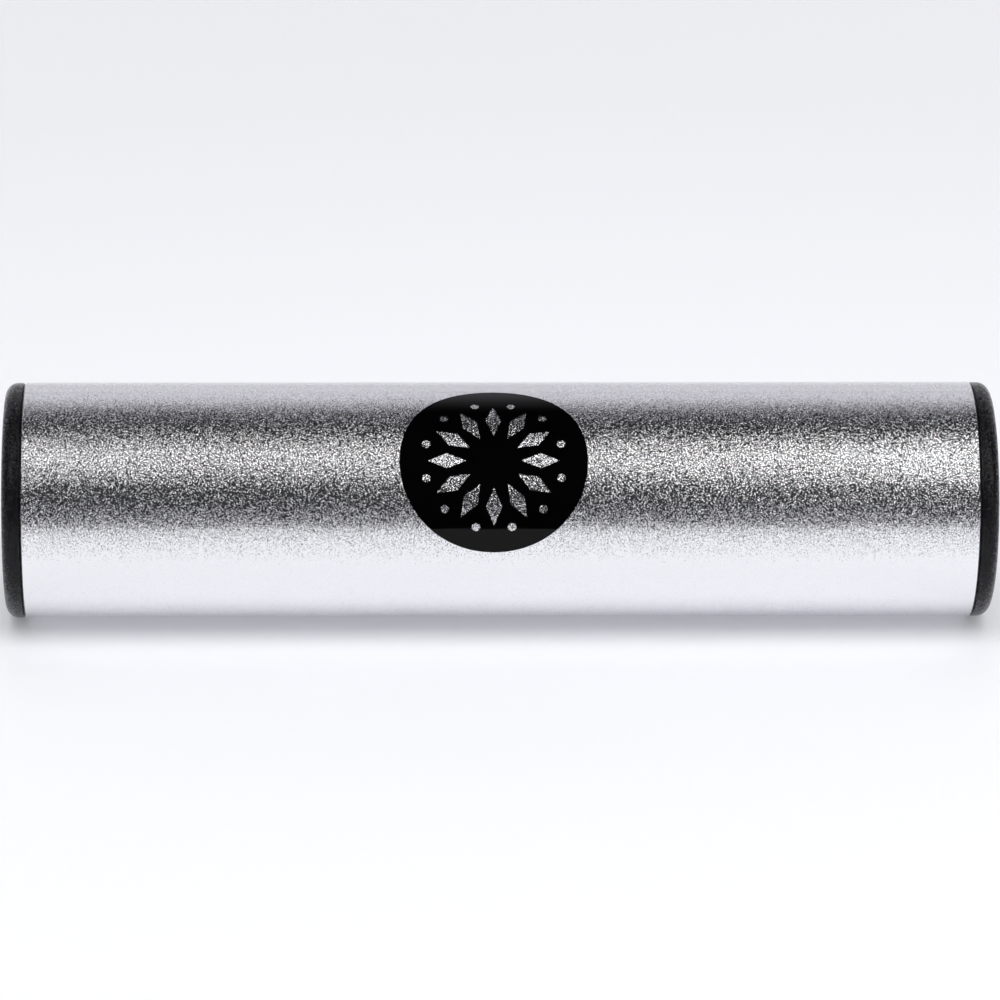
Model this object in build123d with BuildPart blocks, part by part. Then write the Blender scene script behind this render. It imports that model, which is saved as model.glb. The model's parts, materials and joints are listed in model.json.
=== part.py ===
"""Ganza shaker: an aluminium tube with a moulded plug in each end, a round film label and loose steel shot.

The tube lies along X with its lowest line on Z = 0. Its front, where the label is, faces -Y.
"""

import os
from math import asin, cos, degrees, floor, pi, radians, sin, sqrt

from build123d import *

# Tube: drawn aluminium, cut square, with both rims broken
tube_diameter = 50.0
tube_wall = 1.5
tube_length = 201.0
outer_rim_break = 0.35
bore_rim_break = 0.4

# End plug: a flange that covers the rim, with a narrow groove at the seam, and a hollow barbed spigot
flange_inset = 0.05
flange_thickness = 4.0
flange_edge_radius = 2.6
seam_gap = 0.3
seam_depth = 0.6
end_wall = 3.0
bore_clearance = 0.05
barb_count = 3
barb_height = 0.8
barb_pitch = 4.0
barb_land = 1.4
shoulder_length = 2.0
spigot_wall = 2.2
spigot_lead = 0.6
web_count = 3
web_thickness = 1.8
web_setback = 5.0

# Label: a round film, pressed onto the upper front of the tube
label_diameter = 39.4
label_thickness = 0.1
label_glue_line = 0.02
label_offset = -1.6
label_elevation = 45.0
label_outline_points = 24

# Shot: steel pellets with tumbled edges, lying in rows along the bottom of the bore
pellet_size = 5.5
pellet_gap = 0.2
pellet_bore_gap = 0.15
pellet_plug_gap = 0.3
full_row_count = 5

# Sizes that follow from those above
tube_radius = tube_diameter / 2
bore_radius = tube_radius - tube_wall
seam_x = tube_length / 2
flange_radius = tube_radius - flange_inset
barb_radius = bore_radius - bore_clearance
spigot_radius = barb_radius - barb_height
cup_radius = spigot_radius - spigot_wall
cup_floor = flange_thickness - end_wall
spigot_length = shoulder_length + barb_count * barb_pitch
label_radius = label_diameter / 2
film_radius = tube_radius + label_glue_line

os.makedirs("parts", exist_ok=True)


def section_plane(x):
    """Plane square to the tube's axis and centred on it, its own X to the back and its own Y up."""
    return Plane(origin=(x, 0, tube_radius), x_dir=(0, 1, 0), z_dir=(1, 0, 0))


def finish(piece, name):
    """Label a finished piece and write it to its own file."""
    piece.part.label = name
    export_step(piece.part, f"parts/{name}.step")


# Tube
with BuildPart() as tube:
    with BuildSketch(section_plane(-seam_x)):
        Circle(tube_radius)
        Circle(bore_radius, mode=Mode.SUBTRACT)
    extrude(amount=tube_length)
    rims = tube.edges().filter_by(GeomType.CIRCLE).group_by(SortBy.RADIUS)
    chamfer(rims[-1], outer_rim_break)
    chamfer(rims[0], bore_rim_break)
finish(tube, "tube")

# End plugs: the half profile starts at the seam, with X outwards along the tube and Y away from its axis
plug_plane = Plane(origin=(seam_x, 0, tube_radius), x_dir=(1, 0, 0), z_dir=(0, -1, 0))

barb_profile = []
for barb in range(barb_count):
    barb_step = -shoulder_length - barb * barb_pitch
    barb_profile.append((barb_step, spigot_radius))
    barb_profile.append((barb_step, barb_radius))
    barb_profile.append((barb_step - barb_pitch + barb_land, spigot_radius))

with BuildPart() as right_end_plug:
    with BuildSketch(plug_plane) as plug_profile:
        with BuildLine():
            Polyline(
                (cup_floor, 0),
                (flange_thickness, 0),
                (flange_thickness, flange_radius),
                (seam_gap, flange_radius),
                (0, flange_radius - seam_depth),
                (0, spigot_radius),
                *barb_profile,
                (-spigot_length, spigot_radius),
                (-spigot_length, cup_radius),
                (cup_floor, cup_radius),
                close=True,
            )
        make_face()
        fillet(plug_profile.vertices().group_by(Axis.Y)[-1].sort_by(Axis.X)[-1], flange_edge_radius)
        chamfer(plug_profile.vertices().group_by(Axis.X)[0].sort_by(Axis.Y)[-1], spigot_lead)
    revolve(axis=Axis((0, 0, tube_radius), (1, 0, 0)))
    with BuildSketch(section_plane(seam_x - spigot_length + web_setback)):
        with PolarLocations(0, web_count, angular_range=180):
            Rectangle(2 * cup_radius + spigot_wall, web_thickness)
    extrude(amount=spigot_length - web_setback + cup_floor)
finish(right_end_plug, "right_end_plug")

with BuildPart() as left_end_plug:
    mirror(right_end_plug.part, about=Plane.YZ)
finish(left_end_plug, "left_end_plug")

# Label: a sleeve of film over the tube, cut to the outline that a round label shows when it is wrapped
label_out = (0, -cos(radians(label_elevation)), sin(radians(label_elevation)))
label_plane = Plane(origin=(label_offset, 0, tube_radius), x_dir=(1, 0, 0), z_dir=label_out)

label_outline = []
for point in range(label_outline_points):
    turn = 2 * pi * point / label_outline_points
    angle_round_tube = label_radius * sin(turn) / film_radius
    label_outline.append((label_radius * cos(turn), film_radius * sin(angle_round_tube)))

with BuildPart() as label_film:
    with BuildSketch(section_plane(-seam_x)):
        Circle(film_radius + label_thickness)
        Circle(film_radius, mode=Mode.SUBTRACT)
    extrude(amount=tube_length)
    with BuildSketch(label_plane):
        with BuildLine():
            Spline(*label_outline, periodic=True)
        make_face()
    extrude(amount=tube_diameter, mode=Mode.INTERSECT)
finish(label_film, "label_film")

# Shot: each row lies across the tube, and a full row and a row one pellet short take turns
pellet_flat = pellet_size / (1 + sqrt(2))
row_radius = bore_radius - pellet_bore_gap - pellet_size / 2
row_pitch = pellet_size + pellet_gap
pellet_angle = 2 * degrees(asin(row_pitch / 2 / (row_radius - pellet_flat / 2)))
chamber_length = tube_length - 2 * (spigot_length + pellet_plug_gap)
row_count = floor((chamber_length + pellet_gap) / row_pitch)

with BuildPart() as pellet:
    Box(pellet_size, pellet_size, pellet_size)
    chamfer(pellet.edges(), (pellet_size - pellet_flat) / 2)

for row in range(row_count):
    row_x = (row - (row_count - 1) / 2) * row_pitch
    pellets_in_row = full_row_count - row % 2
    row_angle = (pellets_in_row - 1) * pellet_angle
    with BuildPart(section_plane(row_x)) as shot_row:
        with PolarLocations(row_radius, pellets_in_row, -90 - row_angle / 2, row_angle, endpoint=True):
            add(pellet.part)
    finish(shot_row, f"shot_row_{row + 1:02d}")
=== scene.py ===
import json
import math

import bmesh
import bpy
from mathutils import Matrix, Vector


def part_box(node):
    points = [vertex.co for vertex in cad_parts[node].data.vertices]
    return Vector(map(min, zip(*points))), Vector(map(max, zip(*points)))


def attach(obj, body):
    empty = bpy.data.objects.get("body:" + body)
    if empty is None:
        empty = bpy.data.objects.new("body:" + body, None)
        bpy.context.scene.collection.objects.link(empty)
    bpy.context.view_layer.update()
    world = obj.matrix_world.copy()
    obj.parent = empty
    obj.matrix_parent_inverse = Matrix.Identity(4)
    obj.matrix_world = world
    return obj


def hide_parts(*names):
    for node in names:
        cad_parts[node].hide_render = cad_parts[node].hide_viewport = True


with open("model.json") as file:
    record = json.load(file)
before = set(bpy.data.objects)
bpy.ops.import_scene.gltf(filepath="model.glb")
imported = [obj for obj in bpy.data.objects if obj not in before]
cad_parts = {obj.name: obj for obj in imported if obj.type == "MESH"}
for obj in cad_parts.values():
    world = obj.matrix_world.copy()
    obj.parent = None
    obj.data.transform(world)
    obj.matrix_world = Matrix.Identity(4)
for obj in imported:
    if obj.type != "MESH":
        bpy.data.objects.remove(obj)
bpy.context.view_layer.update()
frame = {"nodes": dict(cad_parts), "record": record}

# Tube
# A length of drawn aluminium tube, cut square with both rims broken. Its skin is blasted to a field of
# tiny bright facets and clear anodised, so it sparkles where the room is dark and goes white elsewhere.
mounts = {mount["name"]: mount for mount in frame["record"]["mounts"]}
tube_low, tube_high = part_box("tube")
tube_radius = mounts["tube_grip"]["dims"]["r_mm"] / 1000
tube_half = (tube_high.x - tube_low.x) / 2
tube_wall = 0.0015
bore_radius = tube_radius - tube_wall
outer_rim_break = 0.00035
bore_rim_break = 0.0004
least_rim_lean = 0.5
lathe_steps = 192
crease_angle = math.radians(30)


def turned(name, outline):
    """A piece turned about the tube's axis, from a loop of (place along the tube, radius)."""
    shape = bmesh.new()
    rings = []
    for along, radius in outline:
        ring = []
        for step in range(lathe_steps if radius > 0 else 1):
            turn = 2 * math.pi * step / lathe_steps
            across = radius * math.cos(turn)
            height = tube_radius + radius * math.sin(turn)
            ring.append(shape.verts.new((along, across, height)))
        rings.append(ring)
    for ring, following in zip(rings, rings[1:] + rings[:1]):
        for step in range(lathe_steps):
            after = (step + 1) % lathe_steps
            corners = [ring[step % len(ring)], ring[after % len(ring)]]
            corners += [following[after % len(following)], following[step % len(following)]]
            corners = list(dict.fromkeys(corners))
            if len(corners) > 2:
                shape.faces.new(corners)
    bmesh.ops.recalc_face_normals(shape, faces=shape.faces)
    mesh = bpy.data.meshes.new(name)
    shape.to_mesh(mesh)
    shape.free()
    mesh.shade_smooth()
    mesh.set_sharp_from_angle(angle=crease_angle)
    piece = bpy.data.objects.new(name, mesh)
    bpy.context.scene.collection.objects.link(piece)
    return piece


def feed(tree, socket, value):
    """Set a node's socket to a plain value, or link it from another socket."""
    if isinstance(value, bpy.types.NodeSocket):
        tree.links.new(value, socket)
    else:
        socket.default_value = value


def add_node(tree, kind, inputs=None, **settings):
    """Add a node with its settings, and feed the inputs that are named or numbered."""
    node = tree.nodes.new(kind)
    for name, value in settings.items():
        setattr(node, name, value)
    for key, value in (inputs or {}).items():
        feed(tree, node.inputs[key], value)
    return node


def maths(tree, operation, first, second=0.0):
    """The result of a maths node on two numbers or sockets."""
    return add_node(tree, "ShaderNodeMath", {0: first, 1: second}, operation=operation).outputs[0]


def vector_maths(tree, operation, first, second=(0, 0, 0)):
    """The vector that a vector maths node makes of two vectors or sockets."""
    return add_node(tree, "ShaderNodeVectorMath", {0: first, 1: second}, operation=operation).outputs[0]


def new_group(name, kind, inputs, outputs):
    """An empty node group with its sockets, and its two end nodes."""
    tree = bpy.data.node_groups.new(name, kind)
    for label, socket in inputs.items():
        tree.interface.new_socket(label, in_out="INPUT", socket_type="NodeSocket" + socket)
    for label, socket in outputs.items():
        tree.interface.new_socket(label, in_out="OUTPUT", socket_type="NodeSocket" + socket)
    return tree, tree.nodes.new("NodeGroupInput"), tree.nodes.new("NodeGroupOutput")


# Facets shared by the tube, the plugs and the shot: small cells, most of them leaning a little, a few a lot
facets, facets_in, facets_out = new_group(
    "facets", "ShaderNodeTree", {"Size": "Float", "Lean": "Float"}, {"Normal": "Vector", "Tone": "Float"}
)
upright_cell = (0.5, 0.5, 0.5)
place = add_node(facets, "ShaderNodeTexCoord").outputs["Object"]
fineness = maths(facets, "DIVIDE", 1.0, facets_in.outputs["Size"])
cells = add_node(facets, "ShaderNodeTexVoronoi", {"Vector": place, "Scale": fineness}).outputs["Color"]
even_lean = vector_maths(facets, "SUBTRACT", cells, upright_cell)
mostly_small = vector_maths(facets, "MULTIPLY", even_lean, vector_maths(facets, "ABSOLUTE", even_lean))
lean = add_node(
    facets, "ShaderNodeVectorMath", {0: mostly_small, "Scale": facets_in.outputs["Lean"]}, operation="SCALE"
)
surface = add_node(facets, "ShaderNodeNewGeometry")
leaning = vector_maths(facets, "ADD", surface.outputs["Normal"], lean.outputs[0])
tones = add_node(facets, "ShaderNodeSeparateXYZ", {0: cells})
feed(facets, facets_out.inputs["Normal"], vector_maths(facets, "NORMALIZE", leaning))
feed(facets, facets_out.inputs["Tone"], tones.outputs["X"])


def new_material(name, settings):
    """A material with its shader's own sockets set, its node tree and that shader."""
    material = bpy.data.materials.new(name)
    material.use_nodes = True
    tree = material.node_tree
    shader = tree.nodes["Principled BSDF"]
    for key, value in settings.items():
        shader.inputs[key].default_value = value
    return material, tree, shader


def colour_between(tree, mask, dark, light):
    """A colour that goes from dark to light as the mask goes from 0 to 1."""
    ramp = add_node(tree, "ShaderNodeValToRGB", {"Fac": mask})
    ramp.color_ramp.elements[0].color = (*dark, 1)
    ramp.color_ramp.elements[1].color = (*light, 1)
    return ramp.outputs["Color"]


def value_between(tree, mask, first, last):
    """A number that goes from the first to the last as the mask goes from 0 to 1."""
    return add_node(tree, "ShaderNodeMapRange", {"Value": mask, "To Min": first, "To Max": last}).outputs[0]


blasted_facet_size = 0.00011
blasted_facet_lean = 1.24
blasted_dark = (0.84, 0.84, 0.86)
blasted_light = (0.95, 0.95, 0.965)
blasted_roughness = (0.12, 0.09)
blasted_aluminium, tree, shader = new_material("blasted_aluminium", {"Metallic": 1.0})
blasting = add_node(
    tree, "ShaderNodeGroup", {"Size": blasted_facet_size, "Lean": blasted_facet_lean}, node_tree=facets
)
blasted_colour = colour_between(tree, blasting.outputs["Tone"], blasted_dark, blasted_light)
feed(tree, shader.inputs["Base Color"], blasted_colour)
feed(tree, shader.inputs["Roughness"], value_between(tree, blasting.outputs["Tone"], *blasted_roughness))
feed(tree, shader.inputs["Normal"], blasting.outputs["Normal"])

tool_mark_size = 0.0003
tool_mark_lean = 0.2
rim_dark = (0.88, 0.88, 0.89)
rim_light = (0.96, 0.96, 0.965)
rim_roughness = 0.22
turned_rim, tree, shader = new_material("turned_rim", {"Metallic": 1.0, "Roughness": rim_roughness})
tool_marks = add_node(
    tree, "ShaderNodeGroup", {"Size": tool_mark_size, "Lean": tool_mark_lean}, node_tree=facets
)
rim_colour = colour_between(tree, tool_marks.outputs["Tone"], rim_dark, rim_light)
feed(tree, shader.inputs["Base Color"], rim_colour)
feed(tree, shader.inputs["Normal"], tool_marks.outputs["Normal"])

tube = turned(
    "tube_shell",
    [
        (-tube_half, tube_radius - outer_rim_break),
        (-tube_half + outer_rim_break, tube_radius),
        (tube_half - outer_rim_break, tube_radius),
        (tube_half, tube_radius - outer_rim_break),
        (tube_half, bore_radius + bore_rim_break),
        (tube_half - bore_rim_break, bore_radius),
        (-tube_half + bore_rim_break, bore_radius),
        (-tube_half, bore_radius + bore_rim_break),
    ],
)
tube.data.materials.append(blasted_aluminium)
tube.data.materials.append(turned_rim)
for face in tube.data.polygons:
    if abs(face.normal.x) > least_rim_lean:
        face.material_index = 1
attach(tube, "shaker")
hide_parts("tube")

# End plugs
# Two black rubber mouldings, one pushed into each end. A flange with a rounded edge covers the tube's rim,
# and a hollow spigot with three barbs grips the bore, stiffened by webs across its cup.
plug_low, plug_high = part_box("right_end_plug")
flange_thickness = plug_high.x - tube_half
flange_inset = 0.00005
flange_radius = tube_radius - flange_inset
flange_edge_radius = 0.0026
flange_edge_steps = 12
seam_gap = 0.0003
seam_depth = 0.0006
end_wall = 0.003
spigot_tip = plug_low.x - tube_half
bore_clearance = 0.00005
barb_radius = bore_radius - bore_clearance
barb_height = 0.0008
barb_count = 3
barb_pitch = 0.004
barb_land = 0.0014
barb_start = 0.002
spigot_radius = barb_radius - barb_height
spigot_lead = 0.0006
spigot_wall = 0.0022
cup_radius = spigot_radius - spigot_wall
cup_floor = flange_thickness - end_wall
web_count = 3
web_thickness = 0.0018
web_setback = 0.005
web_bite = 0.0004

plug_outline = [(cup_floor, 0), (flange_thickness, 0)]
for step in range(flange_edge_steps + 1):
    turn = math.pi / 2 * step / flange_edge_steps
    edge_along = flange_thickness - flange_edge_radius * (1 - math.cos(turn))
    edge_radius = flange_radius - flange_edge_radius * (1 - math.sin(turn))
    plug_outline.append((edge_along, edge_radius))
plug_outline += [(seam_gap, flange_radius), (0, flange_radius - seam_depth), (0, spigot_radius)]
for barb in range(barb_count):
    barb_step = -barb_start - barb * barb_pitch
    plug_outline += [(barb_step, spigot_radius), (barb_step, barb_radius)]
    plug_outline.append((barb_step - barb_pitch + barb_land, spigot_radius))
plug_outline += [(spigot_tip + spigot_lead, spigot_radius), (spigot_tip, spigot_radius - spigot_lead)]
plug_outline += [(spigot_tip, cup_radius), (cup_floor, cup_radius)]

# Mottle shared by the rubber, the film and the table: soft patches from 0 to 1, narrowed axis by axis
mottle, mottle_in, mottle_out = new_group(
    "mottle",
    "ShaderNodeTree",
    {"Size": "Float", "Detail": "Float", "Narrowing": "Vector"},
    {"Patches": "Float"},
)
faintest_cloud = 0.3
fullest_cloud = 0.7
place = add_node(mottle, "ShaderNodeTexCoord").outputs["Object"]
narrowed = vector_maths(mottle, "MULTIPLY", place, mottle_in.outputs["Narrowing"])
fineness = maths(mottle, "DIVIDE", 1.0, mottle_in.outputs["Size"])
clouds = add_node(
    mottle,
    "ShaderNodeTexNoise",
    {"Vector": narrowed, "Scale": fineness, "Detail": mottle_in.outputs["Detail"]},
)
patches = add_node(
    mottle,
    "ShaderNodeMapRange",
    {"Value": clouds.outputs["Fac"], "From Min": faintest_cloud, "From Max": fullest_cloud},
)
feed(mottle, mottle_out.inputs["Patches"], patches.outputs["Result"])

even = (1, 1, 1)
rub_narrowing = (9, 1, 1)
rub_mark_size = 0.004
rub_mark_detail = 3.0
handling_size = 0.008
handling_detail = 4.0
rubber_grain_size = 0.00022
rubber_grain_lean = 1.15
rubber_dark = (0.005, 0.0049, 0.0056)
rubber_light = (0.0125, 0.0122, 0.0137)
rubber_roughness = (0.09, 0.15)
rubber_reflection = 0.16
moulded_rubber, tree, shader = new_material("moulded_rubber", {"Specular IOR Level": rubber_reflection})
skin_grain = add_node(
    tree, "ShaderNodeGroup", {"Size": rubber_grain_size, "Lean": rubber_grain_lean}, node_tree=facets
)
rub_marks = add_node(
    tree,
    "ShaderNodeGroup",
    {"Size": rub_mark_size, "Detail": rub_mark_detail, "Narrowing": rub_narrowing},
    node_tree=mottle,
)
handling = add_node(
    tree,
    "ShaderNodeGroup",
    {"Size": handling_size, "Detail": handling_detail, "Narrowing": even},
    node_tree=mottle,
)
rubber_colour = colour_between(tree, rub_marks.outputs["Patches"], rubber_dark, rubber_light)
feed(tree, shader.inputs["Base Color"], rubber_colour)
feed(tree, shader.inputs["Roughness"], value_between(tree, handling.outputs["Patches"], *rubber_roughness))
feed(tree, shader.inputs["Normal"], skin_grain.outputs["Normal"])


def add_webs(piece, near, far):
    """Add the crossed webs inside a plug's cup to its mesh, from near to far along the tube."""
    reach = cup_radius + web_bite
    half = web_thickness / 2
    inner_corner = half / math.tan(math.pi / web_count / 2)
    shape = bmesh.new()
    shape.from_mesh(piece.data)
    loops = []
    for along in (near, far):
        loop = []
        for arm in range(2 * web_count):
            turn = math.pi * arm / web_count
            for out, across in ((reach, -half), (reach, half), (inner_corner, half)):
                y = out * math.cos(turn) - across * math.sin(turn)
                z = out * math.sin(turn) + across * math.cos(turn)
                loop.append(shape.verts.new((along, y, tube_radius + z)))
        loops.append(loop)
        shape.faces.new(loop)
    for corner in range(len(loops[0])):
        after = (corner + 1) % len(loops[0])
        shape.faces.new((loops[0][corner], loops[0][after], loops[1][after], loops[1][corner]))
    bmesh.ops.recalc_face_normals(shape, faces=shape.faces)
    shape.to_mesh(piece.data)
    shape.free()


for side, node in ((1, "right_end_plug"), (-1, "left_end_plug")):
    outline_in_place = [(side * (tube_half + along), radius) for along, radius in plug_outline]
    plug = turned(node + "_moulding", outline_in_place)
    add_webs(plug, side * (tube_half + cup_floor + web_bite), side * (tube_half + spigot_tip + web_setback))
    plug.data.materials.append(moulded_rubber)
    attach(plug, "shaker")
    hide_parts(node)

# Shot
# Loose steel pellets, tumbled round and bright, that lie in rows along the bottom of the bore. Each row
# rolls round the bore by itself when the shaker is swung.
pellet_radius = 0.00275
pellet_subdivisions = 2
pellet_bore_gap = 0.00015
pellet_gap = 0.0002
pellet_flat = 2 * pellet_radius / (1 + math.sqrt(2))
row_radius = bore_radius - pellet_bore_gap - pellet_radius
pellet_angle = 2 * math.asin((pellet_radius + pellet_gap / 2) / (row_radius - pellet_flat / 2))
full_row_count = 5

shot_row, row_in, row_out = new_group(
    "shot_row",
    "GeometryNodeTree",
    {
        "Place": "Float",
        "Pellets": "Int",
        "Row Radius": "Float",
        "Pellet Radius": "Float",
        "Pellet Subdivisions": "Int",
        "Pellet Angle": "Float",
        "Axis Height": "Float",
        "Material": "Material",
    },
    {"Geometry": "Geometry"},
)
order = add_node(shot_row, "GeometryNodeInputIndex").outputs[0]
last = maths(shot_row, "SUBTRACT", row_in.outputs["Pellets"], 1.0)
steps_from_middle = maths(shot_row, "SUBTRACT", order, maths(shot_row, "MULTIPLY", last, 0.5))
swing = maths(shot_row, "MULTIPLY", steps_from_middle, row_in.outputs["Pellet Angle"])
sideways = maths(shot_row, "MULTIPLY", maths(shot_row, "SINE", swing), row_in.outputs["Row Radius"])
drop = maths(shot_row, "MULTIPLY", maths(shot_row, "COSINE", swing), row_in.outputs["Row Radius"])
height = maths(shot_row, "SUBTRACT", row_in.outputs["Axis Height"], drop)
pellet_place = add_node(
    shot_row, "ShaderNodeCombineXYZ", {0: row_in.outputs["Place"], 1: sideways, 2: height}
)
pellet_points = add_node(
    shot_row, "GeometryNodePoints", {"Count": row_in.outputs["Pellets"], "Position": pellet_place.outputs[0]}
)
pellet = add_node(
    shot_row,
    "GeometryNodeMeshIcoSphere",
    {"Radius": row_in.outputs["Pellet Radius"], "Subdivisions": row_in.outputs["Pellet Subdivisions"]},
)
pellets = add_node(
    shot_row,
    "GeometryNodeInstanceOnPoints",
    {"Points": pellet_points.outputs[0], "Instance": pellet.outputs["Mesh"]},
)
loose = add_node(shot_row, "GeometryNodeRealizeInstances", {"Geometry": pellets.outputs[0]})
finished_row = add_node(
    shot_row,
    "GeometryNodeSetMaterial",
    {"Geometry": loose.outputs[0], "Material": row_in.outputs["Material"]},
)
feed(shot_row, row_out.inputs["Geometry"], finished_row.outputs[0])


def grown(name, tree, values):
    """A plain mesh piece made by a geometry tree with these values in its named inputs."""
    piece = bpy.data.objects.new(name, bpy.data.meshes.new(name + "_seed"))
    bpy.context.scene.collection.objects.link(piece)
    modifier = piece.modifiers.new("growth", "NODES")
    modifier.node_group = tree
    for item in tree.interface.items_tree:
        if item.in_out == "INPUT":
            modifier[item.identifier] = values[item.name]
    evaluated = piece.evaluated_get(bpy.context.evaluated_depsgraph_get())
    mesh = bpy.data.meshes.new_from_object(evaluated)
    piece.modifiers.remove(modifier)
    piece.data = mesh
    mesh.name = name
    mesh.shade_smooth()
    mesh.set_sharp_from_angle(angle=crease_angle)
    return piece


dent_size = 0.0009
dent_lean = 0.5
steel_dark = (0.42, 0.42, 0.43)
steel_light = (0.66, 0.66, 0.67)
steel_roughness = (0.2, 0.4)
tumbled_steel, tree, shader = new_material("tumbled_steel", {"Metallic": 1.0})
dents = add_node(tree, "ShaderNodeGroup", {"Size": dent_size, "Lean": dent_lean}, node_tree=facets)
steel_colour = colour_between(tree, dents.outputs["Tone"], steel_dark, steel_light)
feed(tree, shader.inputs["Base Color"], steel_colour)
feed(tree, shader.inputs["Roughness"], value_between(tree, dents.outputs["Tone"], *steel_roughness))
feed(tree, shader.inputs["Normal"], dents.outputs["Normal"])

shot_nodes = sorted(name for name in frame["nodes"] if name.startswith("shot_row_"))
for number, node in enumerate(shot_nodes):
    row_low, row_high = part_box(node)
    row = grown(
        node + "_pellets",
        shot_row,
        {
            "Place": (row_low.x + row_high.x) / 2,
            "Pellets": full_row_count - number % 2,
            "Row Radius": row_radius,
            "Pellet Radius": pellet_radius,
            "Pellet Subdivisions": pellet_subdivisions,
            "Pellet Angle": pellet_angle,
            "Axis Height": tube_radius,
            "Material": tumbled_steel,
        },
    )
    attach(row, node)
    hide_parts(node)

# Label
# A round gloss black film on the tube's upper front, cut with a plain ring of lozenges and dots where the
# blasted metal shows through, and pressed on so that it follows the curve.
label_low, label_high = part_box("label_film")
label_elevation = math.radians(45)
film_thickness = 0.0001
film_glue_line = 0.00002
film_strips = 81
film_outline_sides = 160
sheet_width_in_radii = 2.2
cutter_depth_in_films = 4.0
unit_radius = 1.0
motif_count = 12
lozenge_ring = 0.0098
lozenge_length = 0.0082
lozenge_width = 0.0034
lozenge_sides = 4
dot_ring = 0.0146
dot_radius = 0.0009
dot_sides = 20

pressed_film, film_in, film_out = new_group(
    "pressed_film",
    "GeometryNodeTree",
    {
        "Film Radius": "Float",
        "Thickness": "Float",
        "Strips": "Int",
        "Motif Count": "Int",
        "Lozenge Ring": "Float",
        "Lozenge Length": "Float",
        "Lozenge Width": "Float",
        "Dot Ring": "Float",
        "Dot Radius": "Float",
        "Along": "Float",
        "Elevation": "Float",
        "Tube Radius": "Float",
        "Axis Height": "Float",
        "Material": "Material",
    },
    {"Geometry": "Geometry"},
)


def cutter(sides, radius):
    """A prism through the flat film, for its outline or an opening."""
    depth = maths(pressed_film, "MULTIPLY", film_in.outputs["Thickness"], cutter_depth_in_films)
    return add_node(
        pressed_film, "GeometryNodeMeshCylinder", {"Vertices": sides, "Radius": radius, "Depth": depth}
    ).outputs["Mesh"]


def ring_of(shape, ring_radius, half_steps, length, width):
    """Copies of a cutter in a ring turned by half steps, each with its length pointing outwards."""
    count = film_in.outputs["Motif Count"]
    order = add_node(pressed_film, "GeometryNodeInputIndex").outputs[0]
    pitch = maths(pressed_film, "DIVIDE", 2 * math.pi, count)
    turn = maths(pressed_film, "MULTIPLY", maths(pressed_film, "ADD", order, half_steps / 2), pitch)
    across = maths(pressed_film, "MULTIPLY", maths(pressed_film, "COSINE", turn), ring_radius)
    upward = maths(pressed_film, "MULTIPLY", maths(pressed_film, "SINE", turn), ring_radius)
    spot = add_node(pressed_film, "ShaderNodeCombineXYZ", {0: across, 1: upward})
    spots = add_node(pressed_film, "GeometryNodePoints", {"Count": count, "Position": spot.outputs[0]})
    copies = add_node(
        pressed_film,
        "GeometryNodeInstanceOnPoints",
        {
            "Points": spots.outputs[0],
            "Instance": shape,
            "Rotation": add_node(pressed_film, "ShaderNodeCombineXYZ", {2: turn}).outputs[0],
            "Scale": add_node(pressed_film, "ShaderNodeCombineXYZ", {0: length, 1: width, 2: 1.0}).outputs[0],
        },
    )
    return add_node(pressed_film, "GeometryNodeRealizeInstances", {0: copies.outputs[0]}).outputs[0]


sheet_width = maths(pressed_film, "MULTIPLY", film_in.outputs["Film Radius"], sheet_width_in_radii)
sheet_size = add_node(
    pressed_film,
    "ShaderNodeCombineXYZ",
    {0: sheet_width, 1: sheet_width, 2: film_in.outputs["Thickness"]},
)
sheet = add_node(
    pressed_film,
    "GeometryNodeMeshCube",
    {
        "Size": sheet_size.outputs[0],
        "Vertices X": 2,
        "Vertices Y": film_in.outputs["Strips"],
        "Vertices Z": 2,
    },
)
round_film = add_node(pressed_film, "GeometryNodeMeshBoolean", operation="INTERSECT")
feed(pressed_film, round_film.inputs["Mesh 2"], sheet.outputs["Mesh"])
feed(pressed_film, round_film.inputs["Mesh 2"], cutter(film_outline_sides, film_in.outputs["Film Radius"]))
lozenges = ring_of(
    cutter(lozenge_sides, unit_radius),
    ring_radius=film_in.outputs["Lozenge Ring"],
    half_steps=0,
    length=maths(pressed_film, "MULTIPLY", film_in.outputs["Lozenge Length"], 0.5),
    width=maths(pressed_film, "MULTIPLY", film_in.outputs["Lozenge Width"], 0.5),
)
dots = ring_of(
    cutter(dot_sides, unit_radius),
    ring_radius=film_in.outputs["Dot Ring"],
    half_steps=1,
    length=film_in.outputs["Dot Radius"],
    width=film_in.outputs["Dot Radius"],
)
cut_film = add_node(pressed_film, "GeometryNodeMeshBoolean", operation="DIFFERENCE")
feed(pressed_film, cut_film.inputs["Mesh 1"], round_film.outputs["Mesh"])
feed(pressed_film, cut_film.inputs["Mesh 2"], lozenges)
feed(pressed_film, cut_film.inputs["Mesh 2"], dots)

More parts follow.
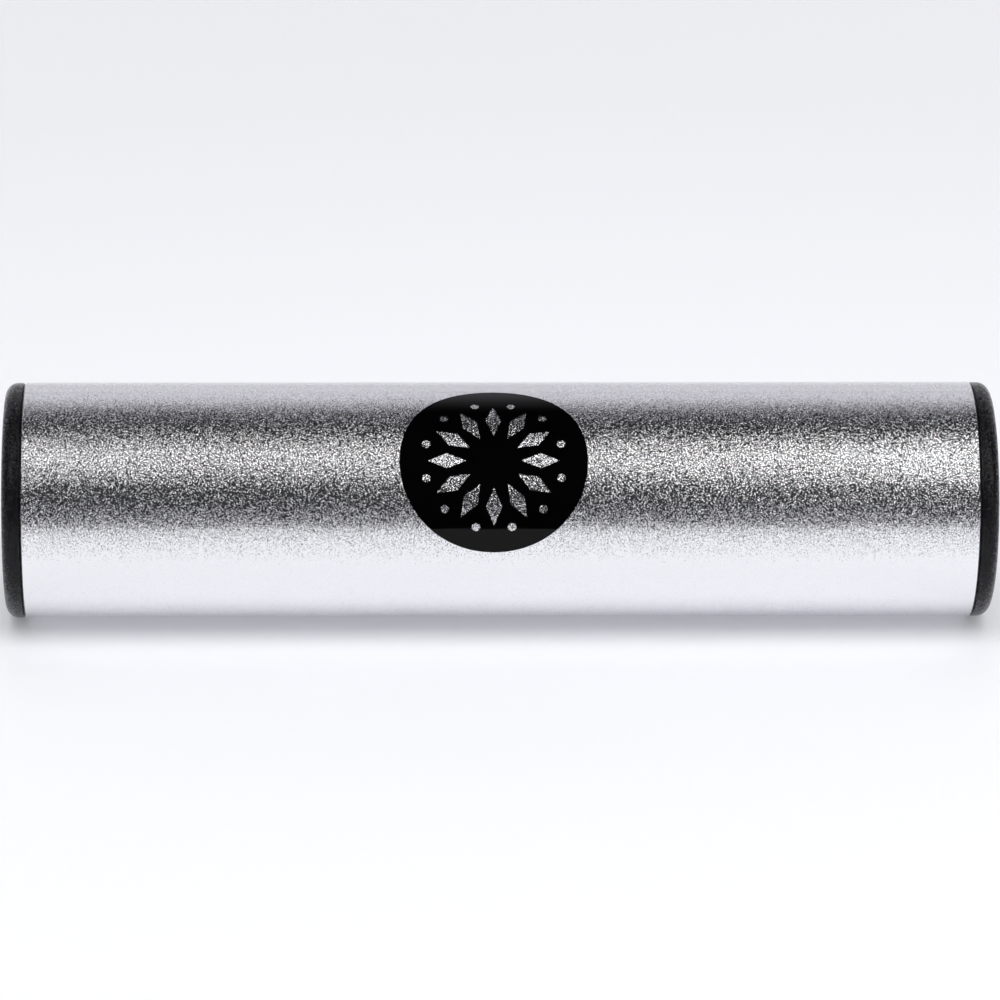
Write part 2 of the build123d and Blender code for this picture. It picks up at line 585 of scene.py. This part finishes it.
flat_place = add_node(pressed_film, "GeometryNodeInputPosition").outputs[0]
flat = add_node(pressed_film, "ShaderNodeSeparateXYZ", {0: flat_place})
wrap = maths(pressed_film, "DIVIDE", flat.outputs["Y"], film_in.outputs["Tube Radius"])
angle = maths(pressed_film, "ADD", wrap, film_in.outputs["Elevation"])
half_film = maths(pressed_film, "MULTIPLY", film_in.outputs["Thickness"], 0.5)
middle_radius = maths(pressed_film, "ADD", half_film, film_in.outputs["Tube Radius"])
lift = maths(pressed_film, "ADD", flat.outputs["Z"], middle_radius)
front = maths(pressed_film, "MULTIPLY", maths(pressed_film, "COSINE", angle), lift)
rise = maths(pressed_film, "MULTIPLY", maths(pressed_film, "SINE", angle), lift)
pressed_place = add_node(
    pressed_film,
    "ShaderNodeCombineXYZ",
    {
        0: maths(pressed_film, "ADD", flat.outputs["X"], film_in.outputs["Along"]),
        1: maths(pressed_film, "MULTIPLY", front, -1.0),
        2: maths(pressed_film, "ADD", rise, film_in.outputs["Axis Height"]),
    },
)
pressed = add_node(
    pressed_film,
    "GeometryNodeSetPosition",
    {"Geometry": cut_film.outputs["Mesh"], "Position": pressed_place.outputs[0]},
)
finished_film = add_node(
    pressed_film,
    "GeometryNodeSetMaterial",
    {"Geometry": pressed.outputs[0], "Material": film_in.outputs["Material"]},
)
feed(pressed_film, film_out.inputs["Geometry"], finished_film.outputs[0])

wipe_size = 0.006
wipe_detail = 2.0
film_dark = (0.0004, 0.0004, 0.0005)
film_light = (0.0009, 0.0009, 0.001)
film_roughness = (0.03, 0.06)
film_reflection = 0.15
gloss_film, tree, shader = new_material("gloss_film", {"Specular IOR Level": film_reflection})
wipe = add_node(
    tree, "ShaderNodeGroup", {"Size": wipe_size, "Detail": wipe_detail, "Narrowing": even}, node_tree=mottle
)
film_colour = colour_between(tree, wipe.outputs["Patches"], film_dark, film_light)
feed(tree, shader.inputs["Base Color"], film_colour)
feed(tree, shader.inputs["Roughness"], value_between(tree, wipe.outputs["Patches"], *film_roughness))

film = grown(
    "label_film_pressed",
    pressed_film,
    {
        "Film Radius": (label_high.x - label_low.x) / 2,
        "Thickness": film_thickness,
        "Strips": film_strips,
        "Motif Count": motif_count,
        "Lozenge Ring": lozenge_ring,
        "Lozenge Length": lozenge_length,
        "Lozenge Width": lozenge_width,
        "Dot Ring": dot_ring,
        "Dot Radius": dot_radius,
        "Along": (label_low.x + label_high.x) / 2,
        "Elevation": label_elevation,
        "Tube Radius": tube_radius + film_glue_line,
        "Axis Height": tube_radius,
        "Material": gloss_film,
    },
)
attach(film, "shaker")
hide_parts("label_film")

# Table, lights and camera
# A plain white table that ends a little way in front of the shaker, a softbox at each side, a lamp for the
# table and one behind, a pale backdrop, and a long lens that looks down on the shaker's front.
table_front = -0.85
table_back = 4.0
table_half_width = 4.0
table_mesh = bpy.data.meshes.new("table")
table_mesh.from_pydata(
    [
        (-table_half_width, table_front, 0),
        (table_half_width, table_front, 0),
        (table_half_width, table_back, 0),
        (-table_half_width, table_back, 0),
    ],
    [],
    [(0, 1, 2, 3)],
)
table = bpy.data.objects.new("table", table_mesh)
bpy.context.scene.collection.objects.link(table)

paper_fleck_size = 0.002
paper_fleck_detail = 2.0
paper_dark = (0.845, 0.85, 0.88)
paper_light = (0.885, 0.89, 0.92)
paper_roughness = 0.7
paper_reflection = 0.2
# Painted light: the table glows though it is no lamp. The glow evens out the lamps' falloff and lightens the
# shade under the shaker.
painted_table_glow = (0.955, 0.96, 1, 1)
glow_near = 0.3
glow_far = 2.6
weakest_glow = 0.2
strongest_glow = 0.80
table_white, tree, shader = new_material(
    "table_white",
    {
        "Roughness": paper_roughness,
        "Specular IOR Level": paper_reflection,
        "Emission Color": painted_table_glow,
    },
)
paper_flecks = add_node(
    tree,
    "ShaderNodeGroup",
    {"Size": paper_fleck_size, "Detail": paper_fleck_detail, "Narrowing": even},
    node_tree=mottle,
)
paper_colour = colour_between(tree, paper_flecks.outputs["Patches"], paper_dark, paper_light)
table_place = add_node(tree, "ShaderNodeTexCoord").outputs["Object"]
from_middle = add_node(tree, "ShaderNodeVectorMath", {0: table_place}, operation="LENGTH")
# Painted glow, weakest near the shaker's middle and strongest far off
glow = add_node(
    tree,
    "ShaderNodeMapRange",
    {
        "Value": from_middle.outputs["Value"],
        "From Min": glow_near,
        "From Max": glow_far,
        "To Min": weakest_glow,
        "To Max": strongest_glow,
    },
)
feed(tree, shader.inputs["Base Color"], paper_colour)
feed(tree, shader.inputs["Emission Strength"], glow.outputs["Result"])
table_mesh.materials.append(table_white)

shaker_middle = Vector((0, 0, tube_radius))


def soft_light(name, place, width, height, power, in_reflections=True):
    """A soft light of this width and height, aimed at the middle of the shaker."""
    lamp = bpy.data.lights.new(name, "AREA")
    lamp.shape = "RECTANGLE"
    lamp.size = width
    lamp.size_y = height
    lamp.energy = power
    light = bpy.data.objects.new(name, lamp)
    light.location = place
    light.rotation_euler = (shaker_middle - Vector(place)).to_track_quat("-Z", "Y").to_euler()
    light.visible_camera = False
    light.visible_glossy = in_reflections
    bpy.context.scene.collection.objects.link(light)


soft_light("left_softbox", place=(-0.50, -0.31, 0.82), width=0.55, height=0.7, power=2.11)
soft_light("right_softbox", place=(0.57, -0.40, 0.77), width=0.55, height=0.85, power=3.52)
soft_light("table_light", place=(0, -1.05, 2.0), width=1.2, height=1.2, power=18.5, in_reflections=False)
soft_light("back_light", place=(0, 0.9, 2.0), width=1.2, height=1.2, power=6, in_reflections=False)

# Brightness of the surroundings by the angle over the shaker in degrees, from in front to behind
backdrop_stops = {1: 0.01, 15: 0.03, 40: 0.05, 75: 0.03, 119: 0.012, 148: 0.82, 160: 0.76, 179: 0.55}
backdrop_tint = (0.94, 0.93, 1.0)
seen_backdrop = (0.945, 0.945, 0.965, 1)
half_turn_degrees = 180
world = bpy.data.worlds.new("studio")
world.use_nodes = True
bpy.context.scene.world = world
tree = world.node_tree
background = tree.nodes["Background"]
direction = add_node(tree, "ShaderNodeTexCoord")
heading = add_node(tree, "ShaderNodeSeparateXYZ", {0: direction.outputs["Generated"]})
towards_front = maths(tree, "MULTIPLY", heading.outputs["Y"], -1.0)
angle_over_shaker = maths(tree, "ARCTAN2", heading.outputs["Z"], towards_front)
share_of_half_turn = maths(tree, "DIVIDE", angle_over_shaker, math.pi)
backdrop = add_node(tree, "ShaderNodeValToRGB", {"Fac": share_of_half_turn})
backdrop.color_ramp.interpolation = "EASE"
for stop, brightness in backdrop_stops.items():
    band = backdrop.color_ramp.elements.new(stop / half_turn_degrees)
    band.color = (*(brightness * tint for tint in backdrop_tint), 1)
backdrop.color_ramp.elements.remove(backdrop.color_ramp.elements[0])
backdrop.color_ramp.elements.remove(backdrop.color_ramp.elements[-1])
first_colour = 6
second_colour = 7
mixed_colour = 2
ray = add_node(tree, "ShaderNodeLightPath").outputs["Is Camera Ray"]
seen = add_node(
    tree,
    "ShaderNodeMix",
    {"Factor": ray, first_colour: backdrop.outputs["Color"], second_colour: seen_backdrop},
    data_type="RGBA",
)
feed(tree, background.inputs["Color"], seen.outputs[mixed_colour])

view_elevation = math.radians(26.0)
right_end_lead = math.radians(1.634)
view_distance = 1.2317
view_roll = math.radians(0.08)
lens_mm = 208.1
sensor_mm = 36
nearest_seen = 0.01
aim_right = 0.00034
aim_down = 0.0001
sight = Vector((math.sin(right_end_lead), 0, -math.sin(view_elevation)))
sight.y = math.sqrt(1 - sight.length_squared)
level = (Vector((1, 0, 0)) - sight * sight.x).normalized()
right = level * math.cos(view_roll) - level.cross(sight) * math.sin(view_roll)
up = right.cross(sight)
lens = bpy.data.cameras.new("camera")
lens.lens = lens_mm
lens.sensor_width = sensor_mm
lens.clip_start = nearest_seen
camera = bpy.data.objects.new("camera", lens)
camera_turn = Matrix((right, up, -sight)).transposed().to_4x4()
camera_place = shaker_middle + right * aim_right - up * aim_down - sight * view_distance
camera.matrix_world = Matrix.Translation(camera_place) @ camera_turn
bpy.context.scene.collection.objects.link(camera)
bpy.context.scene.camera = camera
bpy.context.scene.view_settings.view_transform = "Standard"
